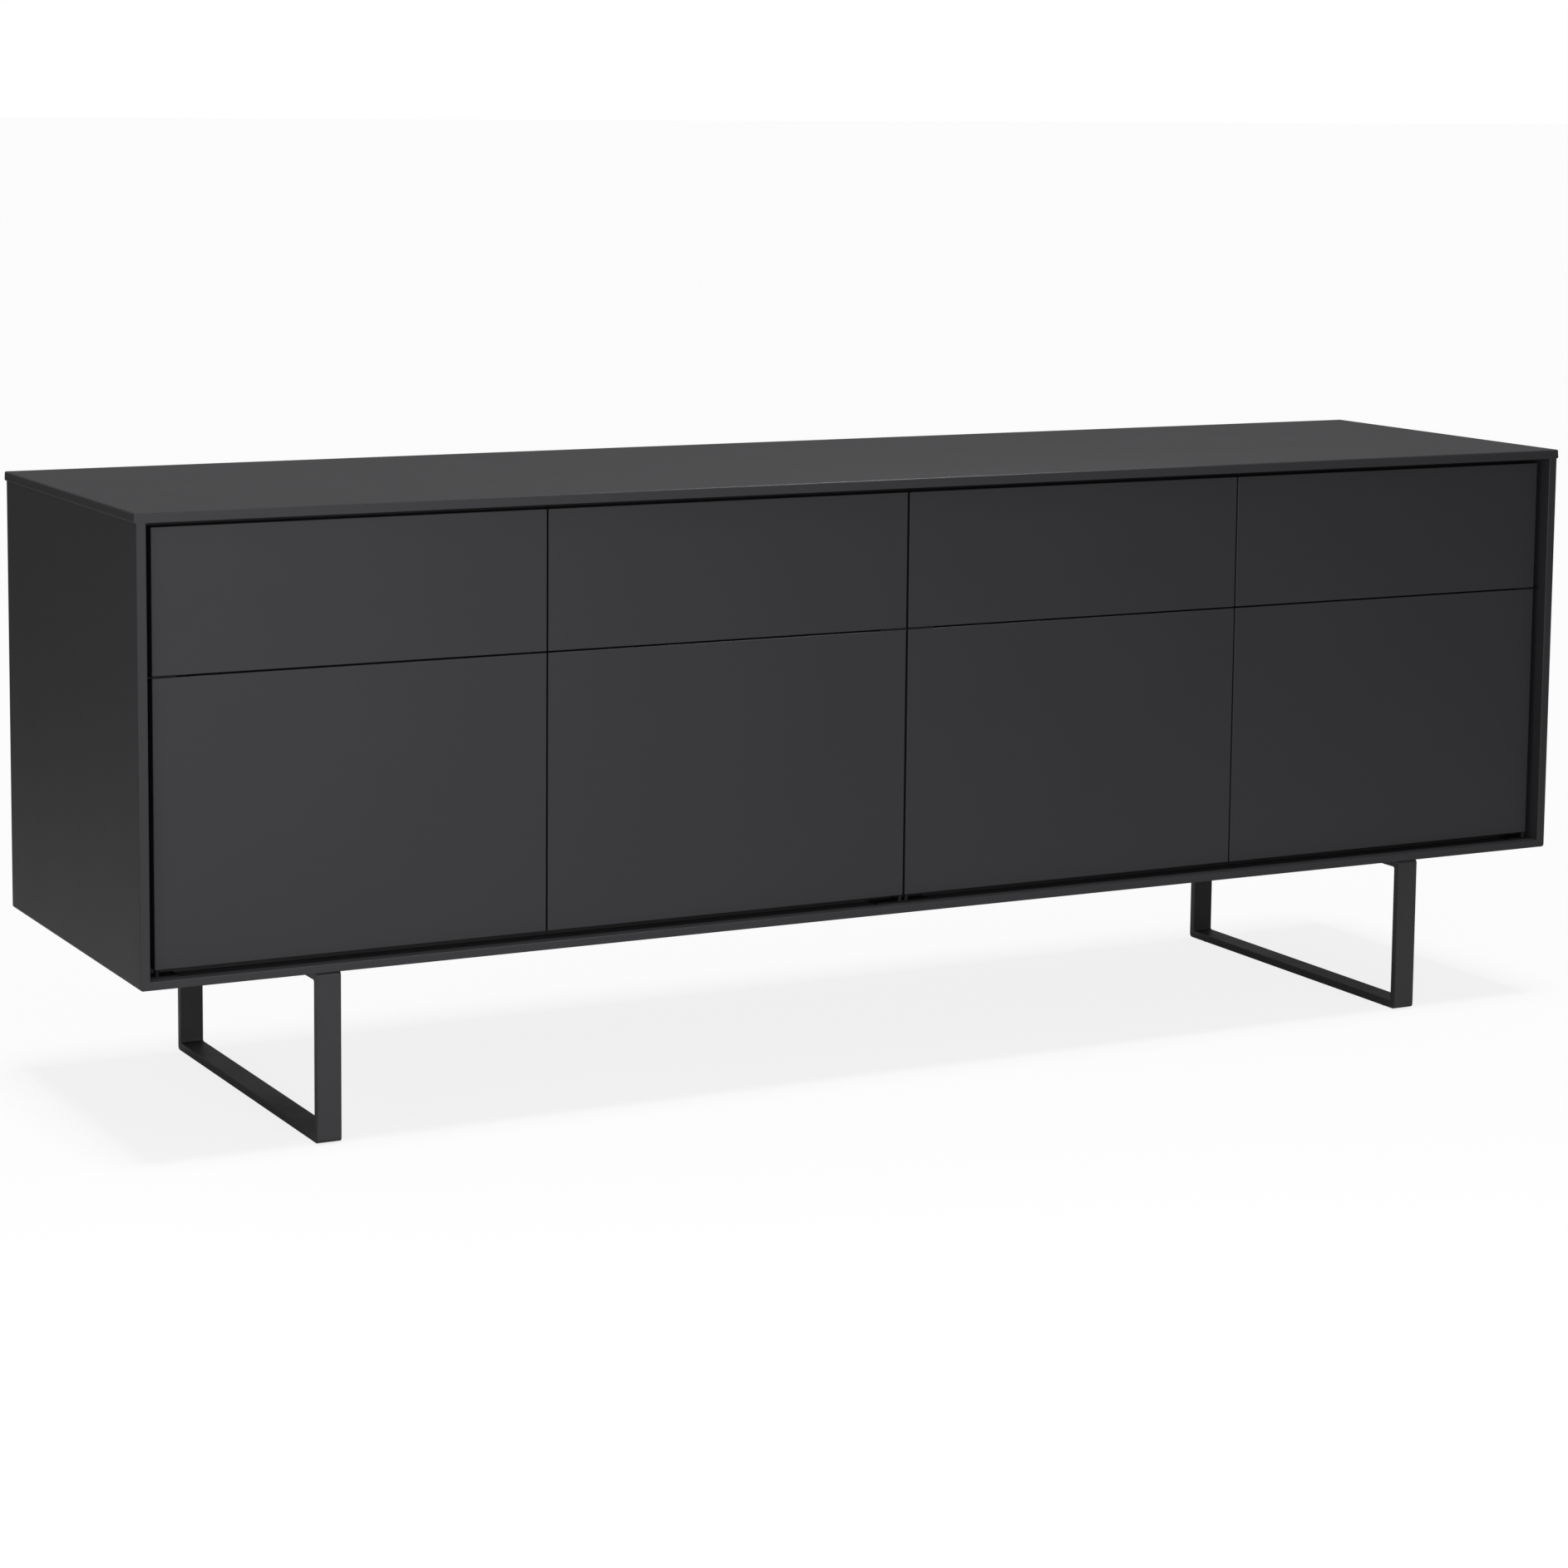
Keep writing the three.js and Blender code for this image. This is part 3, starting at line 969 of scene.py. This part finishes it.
def drawer_boards(number):
    low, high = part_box(f"drawer_box_{number}")
    bottom_low, bottom_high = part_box(f"drawer_bottom_{number}")
    inner_x = (low.x + WALL, high.x - WALL)
    inner_y = (low.y + WALL, high.y - WALL)
    spans = {
        "side_left": ((low.x, low.y), (inner_x[0], high.y)),
        "side_right": ((inner_x[1], low.y), (high.x, high.y)),
        "inner_front": ((inner_x[0], low.y), (inner_x[1], inner_y[0])),
        "back": ((inner_x[0], inner_y[1]), (inner_x[1], high.y)),
    }
    for label, (a, b) in spans.items():
        board = block(f"drawer_{label}_{number}", (*a, low.z), (*b, high.z))
        along_y = label.startswith("side")
        round_some(
            board,
            TOP_ROUND,
            3,
            lambda p, q: same(p.z, high.z)
            and same(q.z, high.z)
            and (same(p.x, q.x) if along_y else same(p.y, q.y)),
        )
        subtract(board, block("groove", bottom_low - GROOVE_PLAY, bottom_high + GROOVE_PLAY))
        smooth(soften(board, WALL_EDGE, 1))
        stands_for = [f"drawer_box_{number}"] if label == "side_left" else []
        dress(board, f"drawer_{number}", "interior_lacquer", *stands_for)
    panel = soften(block(f"drawer_base_{number}", bottom_low, bottom_high), WALL_EDGE, 1)
    dress(smooth(panel), f"drawer_{number}", "interior_lacquer", f"drawer_bottom_{number}")


for number in COLUMNS:
    drawer_boards(number)
tell("drawer boxes")

# %% [markdown]
# ## Runners
#
# The fixed member of a runner is a rolled angle screwed to the cabinet wall. The sliding member
# is a thin steel strip under the drawer's side. Both are plated, and both are drawn along the
# drawer's travel, so the finish's lines run that way.

# %% Runners, fixed and sliding
RAIL_THICKNESS = 1.4 * MM
RAIL_WIDTH = 24 * MM
RAIL_CLEARANCE = 0.3 * MM
RAIL_SHORT = 4 * MM  # how much shorter than the drawer's side it is, at each end
RAIL_EDGE = 0.4 * MM
for number in COLUMNS:
    box_low, box_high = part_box(f"drawer_box_{number}")
    for side in ("left", "right"):
        node = f"runner_{number}_{side}"
        fixed = refined(node, f"runner_angle_{number}_{side}", RAIL_EDGE, 2)
        dress(fixed, "carcass", "zinc", node)
        x = box_low.x if side == "left" else box_high.x - RAIL_WIDTH
        top = box_low.z - RAIL_CLEARANCE / 2
        rail = block(
            f"drawer_rail_{number}_{side}",
            (x, box_low.y + RAIL_SHORT, top - RAIL_THICKNESS),
            (x + RAIL_WIDTH, box_high.y - RAIL_SHORT, top),
        )
        dress(smooth(soften(rail, RAIL_EDGE, 2)), f"drawer_{number}", "zinc")
tell("runners")

# %% [markdown]
# ## Pivots, latches and glides
#
# The pivot plates keep their CAD shape, with their edges broken. A latch is a moulded block with
# a round nose: its plunger is rebuilt with a rounded tip, because that tip is the one part of it
# that is seen and touched when a door stands open. Two ears on each latch take its screws.

# %% Pivot plates
PLATE_EDGE = 0.2 * MM
for level in ("lower", "upper"):
    for place in ("left", "centre", "right"):
        node = f"pivot_{level}_{place}"
        plate = refined(node, f"pivot_plate_{level}_{place}", PLATE_EDGE, 1)
        # Near-black plates: painted shade, so they read as the shadow of the gap under and over the doors.
        dress(plate, "carcass", "steel_paint", node, material=blackened_gap_shade)
tell("pivot plates")

# %% Latches
LATCH_EDGE = 0.5 * MM
EAR_INSET = 12 * MM  # from the ends of the housing
EAR_REACH = 7 * MM
EAR_HALF = 5 * MM
EAR_THICKNESS = 2 * MM
EAR_ROUND = 4 * MM
EAR_EDGE = 0.3 * MM
TIP_ROUND = 1.6 * MM


def upright(a, b):
    return same(a.x, b.x) and same(a.y, b.y)


def latch(number):
    node = f"latch_housing_{number}"
    low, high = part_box(node)
    body = refined(node, f"latch_block_{number}", LATCH_EDGE, 2)
    dress(body, "carcass", "plastic", node)
    middle = (low.x + high.x) / 2
    ears = []
    for y in (low.y + EAR_INSET, high.y - EAR_INSET):
        ear = block(
            "ear",
            (low.x - EAR_REACH, y - EAR_HALF, high.z - EAR_THICKNESS),
            (high.x + EAR_REACH, y + EAR_HALF, high.z),
        )
        round_some(ear, EAR_ROUND, 4, upright)
        trough = block(
            "trough",
            (low.x - NEAR, y - 2 * EAR_HALF, low.z),
            (high.x + NEAR, y + 2 * EAR_HALF, high.z + MM),
        )
        subtract(ear, trough)
        ears.append(soften(ear, EAR_EDGE, 1))
    dress(smooth(join_all(f"latch_ears_{number}", ears)), "carcass", "plastic")

    node = f"latch_plunger_{number}"
    low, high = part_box(node)
    z = (low.z + high.z) / 2
    stem = rod("stem", (middle, low.y, z), (middle, high.y, z), (high.z - low.z) / 2, 32)
    round_some(stem, TIP_ROUND, 4, lambda a, b: same(a.y, low.y) and same(b.y, low.y))
    stem.name = f"plunger_rod_{number}"
    dress(smooth(stem), f"plunger_{number}", "plastic", node, material=grey_plastic)


for number in COLUMNS:
    latch(number)
tell("latches")

# %% Glides
PAD_ROUND = 0.8 * MM
WELL_DEPTH = 1.2 * MM
WELL_RADIUS = 4 * MM
GLIDES = [node for node in frame["nodes"] if node.startswith("glide_")]


def glide(node):
    low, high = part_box(node)
    middle = (low + high) / 2
    radius = (high.x - low.x) / 2
    pad = rod(f"{node}_pad", (middle.x, middle.y, low.z), (middle.x, middle.y, high.z), radius, 40)
    round_some(pad, PAD_ROUND, 3, lambda a, b: same(a.z, low.z) and same(b.z, low.z))
    mouth, floor = low.z - MM, low.z + WELL_DEPTH
    well = rod("well", (middle.x, middle.y, mouth), (middle.x, middle.y, floor), WELL_RADIUS)
    subtract(pad, well)
    dress(smooth(pad), "carcass", "plastic", node)


for node in GLIDES:
    glide(node)
tell("glides")

# %% [markdown]
# ## Screws
#
# Every screw is the same shape at a different size: a low domed head with a cross recess. One is
# made at the origin, pointing up, and copied to each place. A row of screws in one board is one
# piece, joined.

# %% One screw head
HEAD_RADIUS = 3.4 * MM
HEAD_HEIGHT = 1.4 * MM
HEAD_SUNK = 2 * MM
DOME_ROUND = 0.9 * MM
CROSS_HALF, CROSS_THIN = 1.9 * MM, 0.45 * MM
CROSS_FLOOR = 0.5 * MM
NEXT_TURN = 0.7  # each screw of a row stopped at its own angle, in radians


def make_head():
    head = rod("head", (0, 0, -HEAD_SUNK), (0, 0, HEAD_HEIGHT), HEAD_RADIUS, 20)
    top = HEAD_HEIGHT
    round_some(head, DOME_ROUND, 3, lambda a, b: same(a.z, top) and same(b.z, top))
    arms = ((CROSS_HALF, CROSS_THIN), (CROSS_THIN, CROSS_HALF))
    cross = [block("slot", (-a, -b, CROSS_FLOOR), (a, b, top + MM)) for a, b in arms]
    return smooth(subtract(head, *cross))


SCREW = make_head()
print("screw head faces:", len(SCREW.data.polygons))


def screws(name, body, direction, places, scale=1.0):
    """A row of screw heads, standing on the given points and facing the given direction."""
    turn = Vector((0, 0, 1)).rotation_difference(Vector(direction)).to_matrix().to_4x4()
    heads = []
    for index, place in enumerate(places):
        head = copy_of(SCREW, f"head_{index}")
        spin = Matrix.Rotation(NEXT_TURN * index, 4, "Z")
        head.data.transform(Matrix.Translation(place) @ turn @ spin @ Matrix.Scale(scale, 4))
        heads.append(head)
    row = join_all(name, heads) if len(heads) > 1 else settle(heads[0], name)
    dress(row, body, "zinc", material=screw_steel)


# %% Screws in the sleds' top bars and in the back
BAR = 10 * MM
SLED_ROW = 0.19  # half the length of the row
BACK_EDGE = 9 * MM
MIDDLE_ROW_END = 0.13


def row(start, end, count):
    start, end = Vector(start), Vector(end)
    return [start.lerp(end, i / (count - 1)) for i in range(count)]


for side in ("left", "right"):
    low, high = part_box(f"sled_{side}")
    x = (low.x + high.x) / 2
    z = high.z - BAR
    places = row((x, -SLED_ROW, z), (x, SLED_ROW, z), 4)
    screws(f"sled_screws_{side}", "carcass", (0, 0, -1), places, 1.5)

low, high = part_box("back_panel")
x0, x1 = low.x + BACK_EDGE, high.x - BACK_EDGE
z0, z1 = low.z + BACK_EDGE, high.z - BACK_EDGE
back_places = (
    row((x0, high.y, z0), (x1, high.y, z0), 9)
    + row((x0, high.y, z1), (x1, high.y, z1), 9)
    + [Vector((s * x1, high.y, (low.z + high.z) / 2)) for s in (-1, 1)]
    + row((0, high.y, low.z + MIDDLE_ROW_END), (0, high.y, high.z - MIDDLE_ROW_END), 3)
)
screws("back_screws", "carcass", (0, 1, 0), back_places)
tell("screws in the sleds and the back")

# %% Screws in the hardware
RUNNER_STEEL = 2 * MM
RUNNER_DROP = 9 * MM
RUNNER_END = 30 * MM
FRONT_SIDE = 60 * MM
FRONT_BELOW, FRONT_ABOVE = 40 * MM, 30 * MM
EAR_MIDDLE = 3.2 * MM

for number in COLUMNS:
    for side, facing in (("left", 1), ("right", -1)):
        low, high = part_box(f"runner_{number}_{side}")
        x = low.x + RUNNER_STEEL if side == "left" else high.x - RUNNER_STEEL
        z = high.z - RUNNER_DROP
        places = row((x, low.y + RUNNER_END, z), (x, high.y - RUNNER_END, z), 3)
        screws(f"runner_screws_{number}_{side}", "carcass", (facing, 0, 0), places, 0.8)
    low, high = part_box(f"drawer_box_{number}")
    y = low.y + WALL
    z0, z1 = low.z + FRONT_BELOW, high.z - FRONT_ABOVE
    places = [Vector((x, y, z)) for x in (low.x + FRONT_SIDE, high.x - FRONT_SIDE) for z in (z0, z1)]
    screws(f"front_screws_{number}", f"drawer_{number}", (0, 1, 0), places)
    low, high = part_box(f"latch_housing_{number}")
    places = [
        Vector((x, y, high.z - EAR_THICKNESS))
        for x in (low.x - EAR_MIDDLE, high.x + EAR_MIDDLE)
        for y in (low.y + EAR_INSET, high.y - EAR_INSET)
    ]
    screws(f"latch_screws_{number}", "carcass", (0, 0, -1), places, 0.6)

for node in GLIDES:
    low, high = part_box(node)
    place = Vector(((low.x + high.x) / 2, (low.y + high.y) / 2, low.z + WELL_DEPTH))
    screws(f"{node}_screw", "carcass", (0, 0, -1), [place], 0.5)
bpy.data.objects.remove(SCREW)
tell("screws in the hardware")

# %% [markdown]
# ## Strike discs and bumpers
#
# A latch pushes on a small steel disc glued to the back of its door, and soft grey dots near the
# door's free edge keep the lacquer off the cabinet.

# %% Strike discs and bumpers on the doors
DISC_RADIUS = 7 * MM
DISC_PROUD = 0.25 * MM
DISC_EDGE = 0.1 * MM
DOT_RADIUS = 3.5 * MM
DOT_PROUD = 2.2 * MM
DOT_ROUND = 0.9 * MM
DOT_SIDE = 16 * MM
DOT_BELOW, DOT_ABOVE = 5.5 * MM, 4.5 * MM


def door_dots(number):
    low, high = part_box(f"door_{number}")
    latch_low, latch_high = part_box(f"latch_plunger_{number}")
    x = (latch_low.x + latch_high.x) / 2
    z = (latch_low.z + latch_high.z) / 2
    back = high.y
    start, end = (x, back - MM, z), (x, back + DISC_PROUD, z)
    disc = rod(f"strike_disc_{number}", start, end, DISC_RADIUS, 32)
    dress(smooth(soften(disc, DISC_EDGE, 1)), f"door_{number}", "zinc", material=screw_steel)
    free_x = low.x + DOT_SIDE if x < (low.x + high.x) / 2 else high.x - DOT_SIDE
    dots = []
    for z in (low.z + DOT_BELOW, high.z - DOT_ABOVE):
        dot = rod("dot", (free_x, back - MM, z), (free_x, back + DOT_PROUD, z), DOT_RADIUS, 24)
        dots.append(soften(dot, DOT_ROUND, 3))
    bumpers = smooth(join_all(f"bumpers_{number}", dots))
    dress(bumpers, f"door_{number}", "plastic", material=grey_plastic)


for number in COLUMNS:
    door_dots(number)
tell("discs and bumpers")

# %% [markdown]
# ## Floor, light and camera
#
# The piece stands on a pale floor in a bright room with no edges. Seen by the camera the floor
# and the air are nearly white, with only a soft shadow. What the floor gives back as light is
# less, and it fades further out, so the fronts get darker towards their feet.
#
# A wide sun overhead lights the top. A soft lamp in front to the left falls off along the
# fronts, a lower one lights the left end and the leg, and a weak one just above the floor
# reaches under the body. The last lamp only draws a gleam along the edges: it is left out of
# everything matte.

# %% Floor and air
FLOOR_GLOW = 0.84
FLOOR_SHOWN = 0.165
FLOOR_BOUNCE = 0.58
FAR_BOUNCE = 0.13
SHEET_RADIUS = 1.2  # the floor's bounce starts to fade here
DARK_RADIUS = 3.2  # and is down to its far value here
ROOM_LIGHT = 0.26
FLOOR_SIZE = 200


def camera_only(nodes, links, for_camera, for_light):
    """One shader for what the camera sees directly, and another for all that light does."""
    seen = nodes.new("ShaderNodeLightPath").outputs["Is Camera Ray"]
    choose = nodes.new("ShaderNodeMixShader")
    links.new(seen, choose.inputs[0])
    links.new(for_light.outputs[0], choose.inputs[1])
    links.new(for_camera.outputs[0], choose.inputs[2])
    return choose.outputs[0]


def make_floor():
    bpy.ops.object.select_all(action="DESELECT")
    bpy.ops.mesh.primitive_plane_add(size=FLOOR_SIZE, location=(0, 0, 0))
    floor = settle(bpy.context.active_object, "pale_floor")
    material = bpy.data.materials.new("pale_floor")
    material.use_nodes = True
    nodes, links = material.node_tree.nodes, material.node_tree.links
    nodes.clear()
    glow = nodes.new("ShaderNodeEmission")
    glow.inputs["Strength"].default_value = FLOOR_GLOW
    matte = nodes.new("ShaderNodeBsdfDiffuse")
    matte.inputs["Color"].default_value = (FLOOR_SHOWN, FLOOR_SHOWN, FLOOR_SHOWN, 1)
    shown = nodes.new("ShaderNodeAddShader")
    links.new(glow.outputs[0], shown.inputs[0])
    links.new(matte.outputs[0], shown.inputs[1])
    bounce = nodes.new("ShaderNodeBsdfDiffuse")
    distance = nodes.new("ShaderNodeVectorMath")
    distance.operation = "LENGTH"
    links.new(nodes.new("ShaderNodeTexCoord").outputs["Object"], distance.inputs[0])
    fade = nodes.new("ShaderNodeMapRange")
    fade.inputs["From Min"].default_value = SHEET_RADIUS
    fade.inputs["From Max"].default_value = DARK_RADIUS
    fade.inputs["To Min"].default_value = FLOOR_BOUNCE
    fade.inputs["To Max"].default_value = FAR_BOUNCE
    links.new(distance.outputs["Value"], fade.inputs["Value"])
    links.new(fade.outputs["Result"], bounce.inputs["Color"])
    leave = nodes.new("ShaderNodeOutputMaterial")
    links.new(camera_only(nodes, links, shown, bounce), leave.inputs[0])
    floor.data.materials.append(material)
    floor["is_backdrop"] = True


def make_air():
    world = bpy.data.worlds.new("air")
    bpy.context.scene.world = world
    world.use_nodes = True
    nodes, links = world.node_tree.nodes, world.node_tree.links
    nodes.clear()
    white = nodes.new("ShaderNodeBackground")
    white.inputs["Color"].default_value = (1, 1, 1, 1)
    room = nodes.new("ShaderNodeBackground")
    room.inputs["Color"].default_value = (0.98, 0.99, 1.0, 1)
    room.inputs["Strength"].default_value = ROOM_LIGHT
    leave = nodes.new("ShaderNodeOutputWorld")
    links.new(camera_only(nodes, links, white, room), leave.inputs[0])


make_floor()
make_air()

# %% Lamps
SUN_POWER = 1.66
SUN_SPREAD = 12  # degrees
FRONT_POWER = 20
LOW_POWER = 9.5
SKIM_POWER = 5
GLINT_POWER = 8


def lamp(name, kind, place, target, power):
    data = bpy.data.lights.new(name, kind)
    data.energy = power
    light = bpy.data.objects.new(name, data)
    bpy.context.collection.objects.link(light)
    light.visible_camera = False
    light.location = place
    light.rotation_mode = "QUATERNION"
    light.rotation_quaternion = (Vector(target) - Vector(place)).to_track_quat("-Z", "Y")
    return light


overhead = lamp("overhead", "SUN", (0, -0.15, 4), (0, 0, 0), SUN_POWER)
overhead.data.angle = math.radians(SUN_SPREAD)
front = lamp("front_left", "AREA", (-0.62, -2.95, 1.25), (-0.4, 0, 0.5), FRONT_POWER)
front.data.color = (1.0, 0.955, 1.0)
front.data.size = 1.2
low = lamp("low_left", "AREA", (-2.6, -1.6, 0.65), (-0.6, 0.1, 0.2), LOW_POWER)
low.data.size = 0.8
skim = lamp("floor_skim", "AREA", (-0.1, -3.0, 0.35), (0, 0, 0.25), SKIM_POWER)
skim.data.size = 0.6
glint = lamp("edge_glint", "AREA", (0.35, -0.45, 1.55), (-0.1, -0.25, 0.75), GLINT_POWER)
glint.data.size = 0.35
glint.visible_diffuse = False

# %% [markdown]
# ## Camera
#
# A long lens from the front left, a little above the top. The lens is shifted down slightly
# instead of tilted all the way, which keeps the uprights nearly upright.

# %% Place the camera
LENS, FILM_WIDTH = 89.0, 36  # millimetres
CAMERA_SPOT = Vector((-2.355, -4.381, 1.236))
CAMERA_TURN = 27.75  # degrees to the right
CAMERA_DIP = 6.90  # degrees down
CAMERA_ROLL = 0.57
LENS_SHIFT_DOWN = 0.15  # of the frame

camera_data = bpy.data.cameras.new("camera")
camera_data.lens = LENS
camera_data.sensor_width = FILM_WIDTH
camera_data.shift_y = -LENS_SHIFT_DOWN
camera = bpy.data.objects.new("camera", camera_data)
bpy.context.collection.objects.link(camera)
aim = Euler((math.radians(90 - CAMERA_DIP), 0, -math.radians(CAMERA_TURN)))
roll = Matrix.Rotation(math.radians(CAMERA_ROLL), 3, "Z")
camera.location = CAMERA_SPOT
camera.rotation_euler = (aim.to_matrix() @ roll).to_euler()
scene = bpy.context.scene
scene.camera = camera
scene.view_settings.view_transform = "Standard"

# %% Print the visual size
low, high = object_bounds()
print("visual size in metres:", [round(x, 3) for x in high - low])
